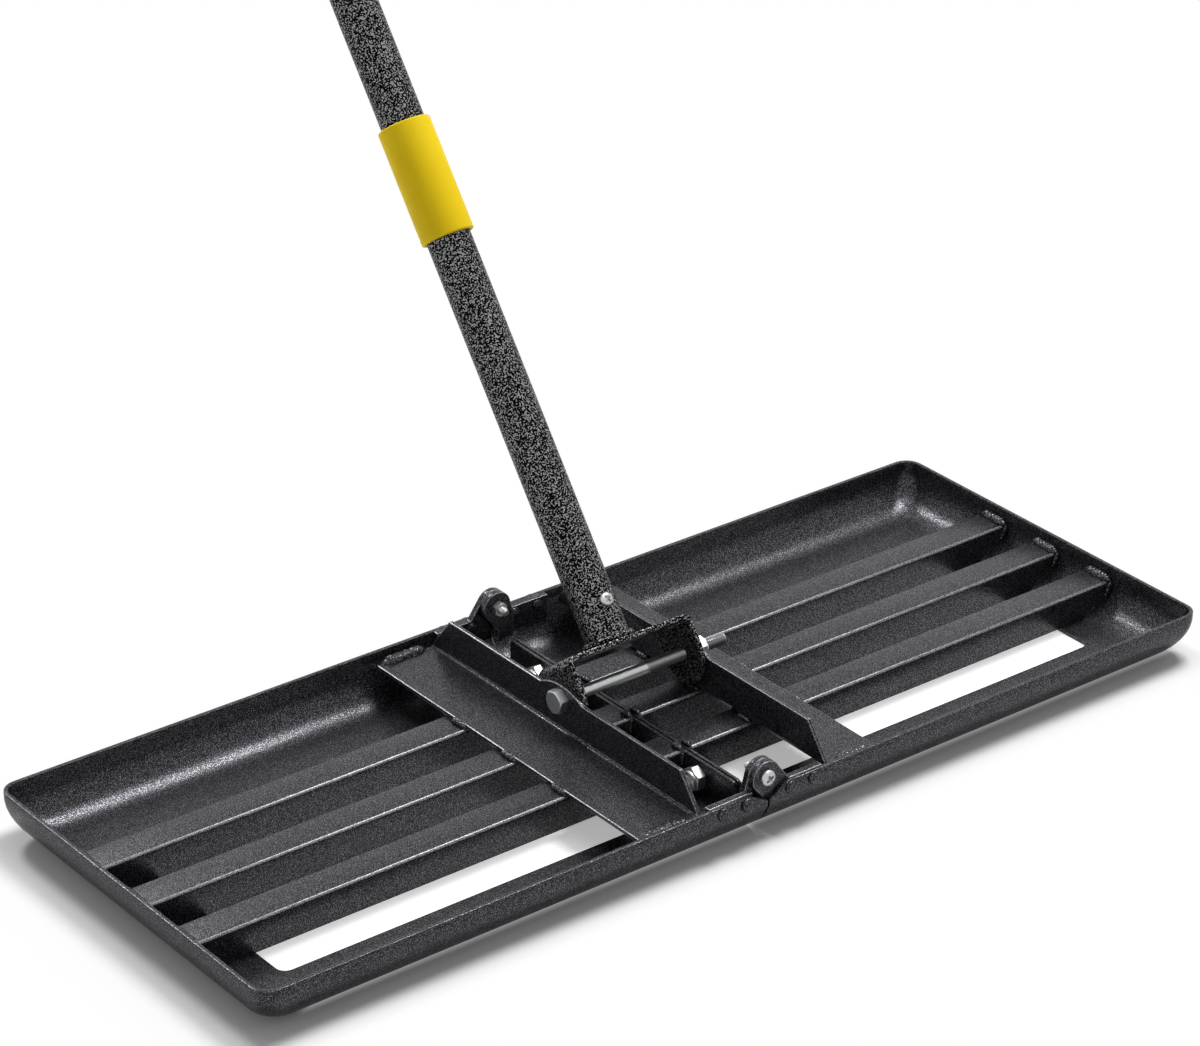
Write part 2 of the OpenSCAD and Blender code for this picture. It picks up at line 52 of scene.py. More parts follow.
# Pans: the sizes of the solids, a fuller floor corner and a wider split
HALF_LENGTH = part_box("right_pan")[1][0]
HALF_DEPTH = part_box("right_pan")[1][1]
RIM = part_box("right_pan")[1][2]
SHEET = 2.5 * MM
COVE = 25 * MM
RIM_CORNER = 11 * MM
FLOOR_CORNER_GROWTH = 5 * MM
RIM_EDGE = 0.45 * MM
RIM_EDGE_ROUNDNESS = 0.3
PAN_SOFT_EDGE = 0.5 * MM
WALL_INSIDE = HALF_DEPTH - SHEET
WALL_STATIONS = [40 * MM, 130 * MM, 220 * MM]
SPLIT_WIDENING = 0.45 * MM
SPLIT = -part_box("left_pan")[1][0] + SPLIT_WIDENING
NOTCH_HALF_WIDTH = 14 * MM
NOTCH_BOTTOM = 23 * MM
NOTCH_FOOT = 17 * MM
WINDOW_END_INSET = 43 * MM
WINDOW = (22 * MM, HALF_LENGTH - WINDOW_END_INSET, -81 * MM, 77 * MM)
WINDOW_CORNER = 6 * MM

# Slats, webs and angle plates
SLATS = 3
SLAT_WEB_GAP = 0.1 * MM
SLAT_INNER = SHEET + SLAT_WEB_GAP
FIRST_SLAT = -57 * MM
SLAT_PITCH = 45.2 * MM
SLAT_NEAR_EDGES = [FIRST_SLAT + SLAT_PITCH * i for i in range(SLATS)]
SLAT_WIDTH = 19.5 * MM
SLAT_TOP = 22 * MM
SLAT_BEND = 2.2 * MM
SLAT_FILLET = 2.5 * MM
SLAT_END_GAP = 0.2 * MM
SLAT_SOFT_EDGE = 0.1 * MM
# Bend faces with normal y below the first and normal z above the second get the painted highlight
SLAT_BEND_LEAN = (-0.3, 0.6)
PLATE_OUTER = 83.5 * MM
PLATE_END = 119.5 * MM
PLATE_SOFT_EDGE = 0.6 * MM
LEFT_UPRIGHT = -44 * MM
RIGHT_UPRIGHT = 48.5 * MM
WEB_SPAN = 101 * MM
WEB_CORNER = 2.5 * MM
WEB_GAP = 0.5 * MM
WEB_HOLE = 4.3 * MM
WEB_SOFT_EDGE = 0.25 * MM

# Weld beads as width and height, and their reach from a slat's near edge
BEAD_LIFT = 0.5 * MM
BEAD_STEP = 0.55 * MM
BEAD_RIPPLE = 2.6 * MM
WALL_BEAD_OVERHANG = 1 * MM
WALL_BEAD, WALL_REACH = (7 * MM, 3 * MM), (-0.5 * MM, SLAT_WIDTH + WALL_BEAD_OVERHANG)
WEB_BEAD, WEB_REACH = (4.6 * MM, 2.2 * MM), (0.0, 9 * MM)
PLATE_BEAD, PLATE_REACH = (4.5 * MM, 2.6 * MM), (0.5 * MM, 14 * MM)
UPRIGHT_BEAD, UPRIGHT_REACH = (4 * MM, 2.2 * MM), (1 * MM, 12 * MM)
WALL_LEG_BEAD = (4 * MM, 1.6 * MM)
WEB_LEG_BEAD = (3.4 * MM, 1.6 * MM)
WALL_BEAD_INSET = 2.6 * MM
WALL_LEG_INSET = 0.4 * MM
WALL_LEG_SHIFTS = (1 * MM, -3 * MM)
WEB_BEAD_INSET = 0.6 * MM
WEB_LEG_INSET = 0.3 * MM
WEB_LEG_RISE = 0.4 * MM
UPRIGHT_BEAD_INSET = 0.5 * MM
LEG_BEAD_FOOT = 12 * MM
END_BEAD = (9 * MM, 3.8 * MM)
END_BEAD_INSET = 0.6 * MM
END_BEAD_LIFT = 1.6 * MM
END_BEAD_FROM_UPRIGHT = 8 * MM
END_BEAD_FROM_OUTER = 3 * MM
END_BEAD_RIPPLE = 5.5 * MM

# Hinges
HINGE_Z = 36 * MM
INNER_EAR_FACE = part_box("far_right_leaf")[0][1]
OUTER_EAR_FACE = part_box("far_left_leaf")[0][1]
HINGE_SCREW_R = 2.5 * MM
HINGE_SCREW_PITCH = 0.8 * MM
HINGE_SCREW_GROOVE = 0.4 * MM
HINGE_SCREW_TAIL = 8.5 * MM
HINGE_THREAD_SHARE = 0.3
LEAF_SOFT_EDGE = 0.5 * MM
HINGE_HEAD = (9.5 * MM, 3.2 * MM)
HINGE_NUT = (8 * MM, 4 * MM)
HINGE_NUT_LEAD = 0.4 * MM
HINGE_NUT_FLOOR = 0.4
RIVET_PLACES = (15.5 * MM, 32 * MM)
RIVET_Z = 25.5 * MM
RIVET_R = 2.5 * MM
RIVET_LENGTH = 6.4 * MM
RIVET_SEAT = -0.3 * MM

# Screw head: its recess and its (radius, height) points, in shares of its size; then a rivet's two ends
RECESS_SPAN, RECESS_WIDTH, RECESS_DEPTH = 0.64, 0.19, 0.7
PAN_HEAD_SHAPE = ((0.96, 0.0), (1.0, 0.12), (1.0, 0.38), (0.94, 0.66), (0.78, 0.87), (0.5, 0.97), (0.0, 1.0))
RIVET_DOME = [(4 * MM, 0.9 * MM), (3.6 * MM, 1.5 * MM), (2.6 * MM, 1.95 * MM), (1.3 * MM, 2.15 * MM),
              (0.0, 2.2 * MM)]
RIVET_TAIL = [(3.5 * MM, 0.0), (3.5 * MM, 0.4 * MM), (2.9 * MM, 1.1 * MM), (1.5 * MM, 1.5 * MM),
              (0.0, 1.6 * MM)]

# Bolts
LOCK_BOLT_Y = 71 * MM
LOCK_BOLT_Z = 12 * MM
LOCK_BOLT_TAIL = 0.6 * MM
BOLT_R = 4 * MM
BOLT_FLATS = 13 * MM
BOLT_HEAD = 5.3 * MM
BOLT_PITCH = 1.25 * MM
BOLT_GROOVE = 0.75 * MM
ROUND_HEAD = (8 * MM, 4.2 * MM)
ROUND_HEAD_EDGE = 0.2 * MM
HEX_CHAMFER = 0.93
HEX_SLOPE = math.tan(math.radians(30))
NUT_HEX = 6.5 * MM
NUT_HEIGHT = 8.1 * MM
NUT_COLLAR_R = 5.8 * MM
NUT_COLLAR_EDGE = 0.5 * MM
NUT_COLLAR_LIP = 1.0 * MM
NUT_COLLAR_SEAT = (1.05 * MM, 0.6 * MM)
NUT_RING = (1.4 * MM, 0.35 * MM)
NUT_RING_INSET = 1.06 * MM
NUT_RING_CLEARANCE = 0.1 * MM
WASHER = 1.6 * MM
WASHER_R = 8 * MM
WASHER_BORE = 4.3 * MM
WASHER_EDGE = 0.25 * MM
PIVOT_Z = 42.5 * MM
PIVOT_TIP = 73 * MM
PIVOT_THREAD_START = 16 * MM
PIVOT_SHANK_R = 3.5 * MM
PIVOT_THREAD_R = 3.75 * MM
PIVOT_HEAD_TURN = math.radians(-10)

# Handle, measured along it from the pivot
LEAN = math.radians(37.5)
TUBE_R = 13 * MM
TUBE_WALL = 0.8 * MM
TUBE_LIP = 0.4 * MM
TUBES = ("lower_tube", "second_tube", "third_tube", "fourth_tube", "upper_tube")
YOKE_RISE = 20 * MM
YOKE_SOFT_EDGE = 0.5 * MM
JOINER_SOFT_EDGE = 0.2 * MM
FOOT = 23 * MM
FOOT_BEAD_R = 12.6 * MM
FOOT_BEAD = (2.9 * MM, 2.3 * MM)
FOOT_BEAD_LIFT = 1.6 * MM
FOOT_BEAD_SINK = 0.3 * MM
SPIGOT_BORE = 11.3 * MM
SPIGOT_R = 12.1 * MM
SPIGOT_LENGTH = 60 * MM
CROSS_SCREW_H = 43 * MM
CROSS_SCREW_HEAD = (8 * MM, 2.4 * MM)
CROSS_SCREW_SINK = 0.15 * MM
JOINT_PITCH = 300 * MM
HANDLE_TOP = JOINT_PITCH * len(TUBES)
TUBE_PLAY = 0.1 * MM
OVER_TUBE = TUBE_R + TUBE_PLAY
SLEEVE_R = 15.6 * MM
SLEEVE_LENGTH = 69 * MM
SLEEVE_LIP = 1.1 * MM
SLEEVE_MOUTH = (0.5 * MM, 0.4 * MM)
GRIP_R = 17 * MM
GRIP_LENGTH = 160 * MM
GRIP_LIP = 2.4 * MM
GRIP_EDGE = 0.4 * MM
GRIP_GROOVES = 6
GRIP_FIRST_GROOVE = 28 * MM
GRIP_GROOVE_WIDTH = 5 * MM
GRIP_GROOVE_DEPTH = 0.8 * MM
CAP = 4 * MM
CAP_EDGE = 2 * MM
CAP_PLUG_R = 12 * MM
CAP_PLUG_LENGTH = 14 * MM

# Meshes
MERGE = 0.001 * MM
POINTED = 0.01 * MM
SOFT_SEGMENTS = 2
SOFT_PROFILE = 0.6
SOFT_ANGLE = 40
FLAT_ANGLE = 1.0
HANDLE_SEGMENTS = 72

# Finishes: grains per metre, tint of the charcoal, and the grain's turn, so that no flat face lies along it
COAT_GRAIN = 2050
COAT_TINT = 0.10
GRAIN_TURN = (0.61, 0.37, 0.83)

# Shadow on the white floor: its reach on the left, how much sooner it ends elsewhere, and the lit middle
SHADOW_START = 2 * MM
SHADOW_REACH = 55 * MM
RIGHT_FADE = 6
NEAR_FADE = 2.6
FAR_FADE = 6
UNDER_GLOW_END = (-50 * MM, -28 * MM)
FLOOR_REACH = 12.0

# Photograph's camera
LENS = 125.96
SENSOR = 36
CAMERA_REACH = 50
CAMERA_AT = (-1.2865, -1.5903, 1.1960)
CAMERA_AZIMUTH = math.radians(-38.587)
CAMERA_ELEVATION = math.radians(27.332)
CAMERA_ROLL = math.radians(-0.632)


class Value:
    """A shader socket that can be used in sums."""

    def __init__(self, socket):
        self.socket = socket
        self.tree = socket.id_data

    def maths(self, operation, a, b):
        node = self.tree.nodes.new("ShaderNodeMath")
        node.operation = operation
        for place, term in zip(node.inputs, (a, b)):
            plug(self.tree, place, term)
        return Value(node.outputs[0])

    def __add__(self, other):
        return self.maths("ADD", self, other)

    def __radd__(self, other):
        return self.maths("ADD", other, self)

    def __sub__(self, other):
        return self.maths("SUBTRACT", self, other)

    def __rsub__(self, other):
        return self.maths("SUBTRACT", other, self)

    def __mul__(self, other):
        return self.maths("MULTIPLY", self, other)

    def __rmul__(self, other):
        return self.maths("MULTIPLY", other, self)

    def larger(self, other):
        return self.maths("MAXIMUM", self, other)


def plug(tree, place, term):
    """Links a value to a socket, or sets the socket."""
    if isinstance(term, Value):
        tree.links.new(term.socket, place)
    else:
        place.default_value = term


class Nodes:
    """The shader of a material or a world, whose nodes all come from one method."""

    def __init__(self, owner):
        owner.use_nodes = True
        self.tree = owner.node_tree
        self.tree.nodes.clear()

    def node(self, kind, settings=None, out=None, **sockets):
        """A node: its type, its settings, the output to use, and the values or links of its sockets."""
        made = self.tree.nodes.new("ShaderNode" + kind)
        for name, setting in (settings or {}).items():
            setattr(made, name, setting)
        for name, term in sockets.items():
            shown = [s for s in made.inputs if s.enabled]
            place = next(s for s in shown if name in (s.identifier, s.name.replace(" ", "_")))
            plug(self.tree, place, term)
        outputs = [s for s in made.outputs if s.enabled and out in (None, s.name)]
        return Value(outputs[0]) if outputs else None

    def blend(self, factor, a, b):
        """Shader a where the factor is 0, shader b where it is 1."""
        return self.node("MixShader", Fac=factor, Shader=a, Shader_001=b)

    def shown_background(self):
        """1 for the rays that show a background: straight, mirrored or through glass."""
        straight = self.node("LightPath", out="Is Camera Ray")
        mirrored = self.node("LightPath", out="Is Glossy Ray")
        through = self.node("LightPath", out="Is Transmission Ray")
        return straight + mirrored + through


class Finish(Nodes):
    """A material with the places that its patterns are drawn at."""

    def __init__(self, name):
        self.material = bpy.data.materials.new(name)
        super().__init__(self.material)
        self.point = self.node("TexCoord", out="Object")
        self.place = self.node("Mapping", Vector=self.point, Rotation=GRAIN_TURN)

    def axis(self, letter):
        return self.node("SeparateXYZ", out=letter, Vector=self.point)

    def noise(self, scale, detail=2.0):
        return self.node("TexNoise", Vector=self.place, Scale=scale, Detail=detail)

    def band(self, value, low, high):
        """0 below low, 1 above high, smooth between."""
        return self.node("MapRange", {"interpolation_type": "SMOOTHSTEP"}, Value=value,
                         From_Min=low, From_Max=high)

    def mix(self, factor, a, b):
        return self.node("Mix", {"data_type": "RGBA"}, Factor=factor, A=a, B=b)

    def bump(self, height, distance, strength):
        return self.node("Bump", Height=height, Distance=distance, Strength=strength)

    def done(self, shader):
        self.node("OutputMaterial", Surface=shader)
        return self.material

    def surface(self, **sockets):
        """Ends the material with a principled surface."""
        return self.done(self.node("BsdfPrincipled", **sockets))


def grey(level, tint=0.0):
    """A grey, tinted toward blue."""
    return (level * (1 - tint / 2), level * (1 - tint / 2), level * (1 + tint), 1.0)


def powder_coat():
    """Charcoal coat with a sandy grain of pale, faintly metallic specks."""
    f = Finish("powder_coat")
    sand = f.noise(scale=COAT_GRAIN, detail=0.0)
    clouds = f.noise(scale=16, detail=3.0)
    specks = f.band(sand, low=0.60, high=0.635)
    pale = f.mix(clouds, grey(0.17, COAT_TINT), grey(0.215, COAT_TINT))
    colour = f.mix(specks, grey(0.001, COAT_TINT), pale)
    return f.surface(Base_Color=colour, Roughness=0.34 - 0.06 * specks, Metallic=specks * 0.55,
                     Specular_IOR_Level=0.22, Normal=f.bump(sand, distance=0.05 * MM, strength=0.5))


def bend_coat():
    """The same coat, paler and shinier over bends and edges, as a painted highlight along them."""
    f = Finish("bend_coat")
    sand = f.noise(scale=COAT_GRAIN, detail=0.0)
    # Paler than the main coat's specks: a painted highlight
    colour = f.mix(f.band(sand, low=0.42, high=0.58), grey(0.05, COAT_TINT), grey(0.30, 0.06))
    return f.surface(Base_Color=colour, Roughness=0.3 + 0.1 * sand, Metallic=0.5, Specular_IOR_Level=0.4)


def hammered_coat():
    """Black coat with a worm-like net of silver, as on hammered paint."""
    f = Finish("hammered_coat")
    net = f.noise(scale=1150, detail=0.0)
    veins = f.band(net, low=0.56, high=0.58)
    colour = f.mix(veins, grey(0.0005), grey(0.30))
    return f.surface(Base_Color=colour, Roughness=0.36 - 0.06 * veins, Metallic=veins * 0.5,
                     Specular_IOR_Level=0.04, Normal=f.bump(net, distance=0.18 * MM, strength=0.6))


def zinc_plate():
    """Bright zinc with a faint haze and fine wear."""
    f = Finish("zinc_plate")
    haze = f.noise(scale=300, detail=3.0)
    wear = f.noise(scale=2200)
    dull, bright = (0.44, 0.45, 0.45, 1), (0.57, 0.58, 0.58, 1)
    colour = f.mix(haze, dull, bright)
    return f.surface(Base_Color=colour, Metallic=0.95, Roughness=0.30 + 0.12 * haze,
                     Normal=f.bump(wear, distance=0.06 * MM, strength=0.5))


def thread_zinc():
    """Zinc with the shade that gathers in fine threads."""
    f = Finish("thread_zinc")
    haze = f.noise(scale=300, detail=3.0)
    dull, bright = (0.28, 0.285, 0.285, 1), (0.38, 0.385, 0.385, 1)
    colour = f.mix(haze, dull, bright)
    return f.surface(Base_Color=colour, Metallic=0.95, Roughness=0.30 + 0.12 * haze)


def nylon():
    """Dark plastic of the rings in the lock nuts."""
    f = Finish("nylon")
    return f.surface(Base_Color=f.mix(f.noise(scale=900), grey(0.03), grey(0.07)), Roughness=0.6)


def yellow_sleeve():
    """Matt yellow plastic with shallow pits."""
    f = Finish("yellow_sleeve")
    clouds = f.noise(scale=40, detail=3.0)
    pits = f.noise(scale=700, detail=1.0)
    deep, light = (0.88, 0.62, 0.008, 1), (0.94, 0.67, 0.012, 1)
    colour = f.mix(clouds, deep, light)
    return f.surface(Base_Color=colour, Roughness=0.46 + 0.1 * pits, Specular_IOR_Level=0.1,
                     Normal=f.bump(pits, distance=0.03 * MM, strength=0.3))


def foam_grip():
    """Black foam with small cells."""
    f = Finish("foam_grip")
    cells = f.node("TexVoronoi", {"feature": "F1"}, Vector=f.place, Scale=900.0)
    colour = f.mix(cells, grey(0.03), grey(0.012))
    return f.surface(Base_Color=colour, Roughness=0.82,
                     Normal=f.bump(cells, distance=0.15 * MM, strength=0.5))


def cap_plastic():
    """Black plastic with a fine grain."""
    f = Finish("cap_plastic")
    grain = f.noise(scale=1600)
    colour = f.mix(grain, grey(0.016), grey(0.028))
    return f.surface(Base_Color=colour, Roughness=0.5 + 0.15 * grain,
                     Normal=f.bump(grain, distance=0.1 * MM, strength=0.4))


COAT = powder_coat()
# Coat with a painted highlight, for bends and softened edges
BEND_HIGHLIGHT_COAT = bend_coat()
HAMMERED = hammered_coat()
ZINC = zinc_plate()
THREAD_ZINC = thread_zinc()
NYLON = nylon()
YELLOW = yellow_sleeve()
FOAM = foam_grip()
CAP_PLASTIC = cap_plastic()


def piece(name, bm, material, body, sharp=35, bevel=0.0):
    """Turns a bmesh into a piece that rides on a body; edges sharper than an angle stay crisp."""
    bmesh.ops.remove_doubles(bm, verts=bm.verts, dist=MERGE)
    bmesh.ops.recalc_face_normals(bm, faces=bm.faces)
    limit = math.radians(sharp)
    if bevel:
        edges = [e for e in bm.edges if len(e.link_faces) == 2 and e.calc_face_angle(0) > limit]
        bmesh.ops.bevel(bm, geom=edges, offset=bevel, segments=SOFT_SEGMENTS, profile=SOFT_PROFILE,
                        affect="EDGES", clamp_overlap=True)
    for face in bm.faces:
        face.smooth = True
    for edge in bm.edges:
        edge.smooth = len(edge.link_faces) == 2 and edge.calc_face_angle(0) < limit
    mesh = bpy.data.meshes.new(name)
    bm.to_mesh(mesh)
    bm.free()
    obj = bpy.data.objects.new(name, mesh)
    bpy.context.scene.collection.objects.link(obj)
    mesh.materials.append(material)
    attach(obj, body)
    return obj


def second_finish(obj, material, chosen):
    """Gives another finish to the faces that a test chooses."""
    obj.data.materials.append(material)
    for face in obj.data.polygons:
        if chosen(face):
            face.material_index = 1


def soften(obj, width, angle):
    """Bevels the edges that are sharper than an angle."""
    soft = obj.modifiers.new("soft_edges", "BEVEL")
    soft.width = width
    soft.segments = SOFT_SEGMENTS
    soft.limit_method = "ANGLE"
    soft.angle_limit = math.radians(angle)
    return soft


def dress(node, material, bevel, edge_highlight_material=None):
    """Keeps a solid of the frame, softens its edges and gives it a finish, and if told gives the softened
    edges a finish with a painted highlight.
    """
    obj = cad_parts[node]
    joined = obj.modifiers.new("joined_faces", "WELD")
    joined.merge_threshold = MERGE
    flat = obj.modifiers.new("flat_faces", "DECIMATE")
    flat.decimate_type = "DISSOLVE"
    flat.angle_limit = math.radians(FLAT_ANGLE)
    soft = soften(obj, bevel, SOFT_ANGLE)
    soft.use_clamp_overlap = False
    obj.data.materials.clear()
    obj.data.materials.append(material)
    # Softened edges get the finish with the painted highlight
    if edge_highlight_material:
        obj.data.materials.append(edge_highlight_material)
        soft.material = 1


def skin(bm, rings, closed=True):
    """Quads between rings of the same length, each a list of points."""
    rows = [[bm.verts.new(p) for p in ring] for ring in rings]
    for low, high in zip(rows, rows[1:]):
        count = len(low)
        for i in range(count if closed else count - 1):
            j = (i + 1) % count
            bm.faces.new((low[i], low[j], high[j], high[i]))
    return rows


def prism(bm, rings):
    """Skin over rings with a face over each end."""
    rows = skin(bm, rings)
    bm.faces.new(rows[0])
    bm.faces.new(rows[-1])


def around(radius, turn, height):
    """A point at an angle round the Z axis."""
    return Vector((radius * math.cos(turn), radius * math.sin(turn), height))


def facing(direction, at):
    """Places a form made along +Z so that it points in a direction from a point."""
    return Matrix.Translation(at) @ Vector(direction).to_track_quat("Z", "Y").to_matrix().to_4x4()


def arc(centre, radius, start, end, steps=6):
    """Points of an arc in a plane, angles in degrees."""
    turns = [math.radians(start + (end - start) * i / steps) for i in range(steps + 1)]
    return [(centre[0] + radius * math.cos(t), centre[1] + radius * math.sin(t)) for t in turns]


def lathe(bm, profile, segments=48, place=Matrix(), closed=False):
    """Turned form from (radius, height) points; closed joins the last point to the first."""
    points = profile + profile[:1] if closed else profile
    turns = [2 * math.pi * i / segments for i in range(segments)]
    rows = skin(bm, [[place @ around(r, t, h) for t in turns] for r, h in points])
    if not closed:
        for row, radius in ((rows[0], points[0][0]), (rows[-1], points[-1][0])):
            if radius > POINTED:
                bm.faces.new(row)


def hex_reach(flats, turn):
    """Distance from a hexagon's middle to its side in a direction."""
    off = (turn + math.pi / 6) % (math.pi / 3) - math.pi / 6
    return flats / 2 / math.cos(off)


def hexagon(bm, flats, height, inward, place, both_chamfers=False, per_side=8):
    """Chamfered hexagon on its own XY plane, closed over its top by the (radius, height) points inward."""
    turns = [2 * math.pi * i / (6 * per_side) for i in range(6 * per_side)]
    ring_r = flats / 2 * HEX_CHAMFER

    def ring(reach, level):
        return [place @ around(reach(t), t, level(t)) for t in turns]

    def side(t):
        return hex_reach(flats, t)

    def drop(t):
        return max(0.0, side(t) - ring_r) * HEX_SLOPE

    rings = []
    if both_chamfers:
        rings.append(ring(lambda t: ring_r, lambda t: 0.0))
        rings.append(ring(side, drop))
    else:
        rings.append(ring(side, lambda t: 0.0))
    rings.append(ring(side, lambda t: height - drop(t)))
    rings.append(ring(lambda t: ring_r, lambda t: height))
    rings += [ring(lambda t, r=r: r, lambda t, h=h: h) for r, h in inward]
    rows = skin(bm, rings)
    bm.faces.new(rows[0])
    if inward[-1][0] > POINTED:
        bm.faces.new(rows[-1])


def thread(bm, radius, start, end, pitch, place, groove=BOLT_GROOVE, segments=36):
    """Helical thread as one grid, with a plain chamfer at its end."""
    steps_per_turn = 8
    end_chamfer, end_depth = 1.2 * MM, 0.9 * MM
    groove_left_at_end = 0.35
    steps = int((end - start) / pitch * steps_per_turn)
    rings = []
    for k in range(steps + 1):
        h = start + (end - start) * k / steps
        ease = min(1.0, (h - start) / pitch, (end - h) / pitch + groove_left_at_end)
        near_end = max(0.0, 1.0 - (end - h) / end_chamfer)
        ring = []
        for i in range(segments):
            phase = (h / pitch - i / segments) % 1.0
            cut = groove * (1 - abs(2 * phase - 1)) * ease
            r = radius - cut - near_end * end_depth
            ring.append(place @ around(r, 2 * math.pi * i / segments, h))
        rings.append(ring)
    prism(bm, rings)


def cut_away(obj, cutter_bm):
    """Cuts a bmesh out of a piece."""
    mesh = bpy.data.meshes.new("cutter")
    bmesh.ops.recalc_face_normals(cutter_bm, faces=cutter_bm.faces)
    cutter_bm.to_mesh(mesh)
    cutter_bm.free()
    cutter = bpy.data.objects.new("cutter", mesh)
    bpy.context.scene.collection.objects.link(cutter)
    boolean = obj.modifiers.new("cut", "BOOLEAN")
    boolean.operation = "DIFFERENCE"
    boolean.solver = "EXACT"
    boolean.use_self = True
    boolean.object = cutter
    shown = obj.evaluated_get(bpy.context.evaluated_depsgraph_get())
    carved = bpy.data.meshes.new_from_object(shown)
    obj.modifiers.clear()
    old = obj.data
    name = old.name
    obj.data = carved
    bpy.data.meshes.remove(old)
    carved.name = name
    bpy.data.objects.remove(cutter)
    bpy.data.meshes.remove(mesh)


def cross_recess(bm, place, span, width, depth, top):
    """Two crossed wedges that narrow downward."""
    first_turn = 0.5
    steady_width = 0.6
    foot_share, top_share = 0.5, 1.25
    for turn in (0.0, math.pi / 2):
        spin = place @ Matrix.Rotation(turn + first_turn, 4, "Z")
        rings = []
        for h, share in ((top - depth, foot_share), (top + depth, top_share)):
            a = span / 2 * share
            b = width / 2 * (steady_width + (1 - steady_width) * share)
            rings.append([spin @ Vector((x, y, h)) for x, y in ((-a, -b), (a, -b), (a, b), (-a, b))])
        prism(bm, rings)


def pan_profile():
    """(inset, height, inset of its own skin) from the floor's underside over the rim to the floor's top."""
    steps = 10
    turns = [math.pi / 2 * i / steps for i in range(steps + 1)]
    inner = COVE - SHEET
    edge = RIM_EDGE
    soft = RIM_EDGE_ROUNDNESS * edge
    outside = [(COVE - COVE * math.sin(t), COVE - COVE * math.cos(t), 0.0) for t in turns]
    rim = [(0.0, RIM - edge, 0.0), (soft, RIM - soft, soft), (edge, RIM, edge)]
    rim += [(SHEET - i, z, SHEET - i) for i, z in ((edge, RIM), (soft, RIM - soft), (0.0, RIM - edge))]
    inside = [(COVE - inner * math.sin(t), COVE - inner * math.cos(t), SHEET) for t in reversed(turns)]
    return outside + rim + inside


def pan_ring(inset, height, skin_inset, side):
    """One level of a half pan, from the split at the far wall round to the split at the near wall."""
    corner_steps = 14
    depth_share = max(0.0, 1 - height / COVE)
    r = RIM_CORNER - skin_inset + FLOOR_CORNER_GROWTH * depth_share
    end_x, wall_y = HALF_LENGTH - inset, HALF_DEPTH - inset
    half = [(x, wall_y) for x in [SPLIT, NOTCH_HALF_WIDTH / 2, NOTCH_HALF_WIDTH] + WALL_STATIONS]
    half += arc((end_x - r, wall_y - r), r, 90, 0, corner_steps)
    ring = []
    for x, y in half + [(x, -y) for x, y in reversed(half)]:
        top = NOTCH_BOTTOM + (RIM - NOTCH_BOTTOM) * min(1.0, (x - SPLIT) / (NOTCH_HALF_WIDTH - SPLIT))
        z = height
        if z > NOTCH_FOOT:
            z = NOTCH_FOOT + (z - NOTCH_FOOT) * (top - NOTCH_FOOT) / (RIM - NOTCH_FOOT)
        ring.append(Vector((side * x, y, z)))
    return ring


def window_loop(side, z):
    """Outline of a window at a height."""
    x0, x1, y0, y1 = WINDOW
    r = WINDOW_CORNER
    points = []
    for i, centre in enumerate(((x1 - r, y1 - r), (x0 + r, y1 - r), (x0 + r, y0 + r), (x1 - r, y0 + r))):
        points += arc(centre, r, 90 * i, 90 * (i + 1))
    return [Vector((side * x, y, z)) for x, y in points]


def pressed_pan(node, side):
    """Half of the base: walls that curve into the floor, soft corners, one window."""
    bm = bmesh.new()
    rows = skin(bm, [pan_ring(*level, side) for level in pan_profile()], closed=False)
    count = len(rows)
    for end in (0, -1):
        for j in range(count // 2 - 1):
            corners = (j, j + 1, count - 2 - j, count - 1 - j)
            bm.faces.new([rows[k][end] for k in corners])
    windows = skin(bm, [window_loop(side, 0.0), window_loop(side, SHEET)])
    bm.faces.new((rows[0][0], rows[0][-1], rows[-1][-1], rows[-1][0]))
    for row, loop in ((rows[0], windows[0]), (rows[-1], windows[1])):
        border = [bm.edges.get((a, b)) for a, b in zip(row, row[1:] + row[:1])]
        border += [bm.edges.get((a, b)) for a, b in zip(loop, loop[1:] + loop[:1])]
        bmesh.ops.triangle_fill(bm, use_beauty=True, edges=border)
    obj = piece(node + "_pressing", bm, COAT, BASE, sharp=38)
    soften(obj, PAN_SOFT_EDGE, angle=60)
    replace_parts(obj, node)


def slat_outline(near):
    """Section of a slat: a top and a leg, with a soft outer edge and a fillet under it."""
    fillet = near + SHEET + SLAT_FILLET, SLAT_TOP - SHEET - SLAT_FILLET
    outline = [(near, SHEET)]
    outline += arc((near + SLAT_BEND, SLAT_TOP - SLAT_BEND), SLAT_BEND, 180, 90)
    outline += [(near + SLAT_WIDTH, SLAT_TOP), (near + SLAT_WIDTH, SLAT_TOP - SHEET)]
    outline += arc(fillet, SLAT_FILLET, 90, 180, steps=5)
    outline.append((near + SHEET, SHEET))
    return outline


def wall_at(z):
    """Distance of an end wall's inner face from the middle, at a height on its curve."""
    inner = COVE - SHEET
    return HALF_LENGTH - COVE + math.sqrt(max(0.0, inner ** 2 - (COVE - z) ** 2))


def slats(side_name, side):
    """The three slats of a half, cut to the wall's curve, with a painted highlight on their bends."""
    bm = bmesh.new()
    for near in SLAT_NEAR_EDGES:
        outline = slat_outline(near)
        inner_end = [Vector((side * SLAT_INNER, y, z)) for y, z in outline]
        outer_end = [Vector((side * (wall_at(z) - SLAT_END_GAP), y, z)) for y, z in outline]
        prism(bm, [inner_end, outer_end])
    obj = piece(side_name + "_slat_set", bm, COAT, BASE, sharp=40, bevel=SLAT_SOFT_EDGE)
    near_lean, up_lean = SLAT_BEND_LEAN
    # Bend faces that lean up and toward the near side get the coat with the painted highlight
    second_finish(obj, BEND_HIGHLIGHT_COAT, lambda face: face.normal.y < near_lean and face.normal.z > up_lean)
    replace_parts(obj, side_name + "_slats")


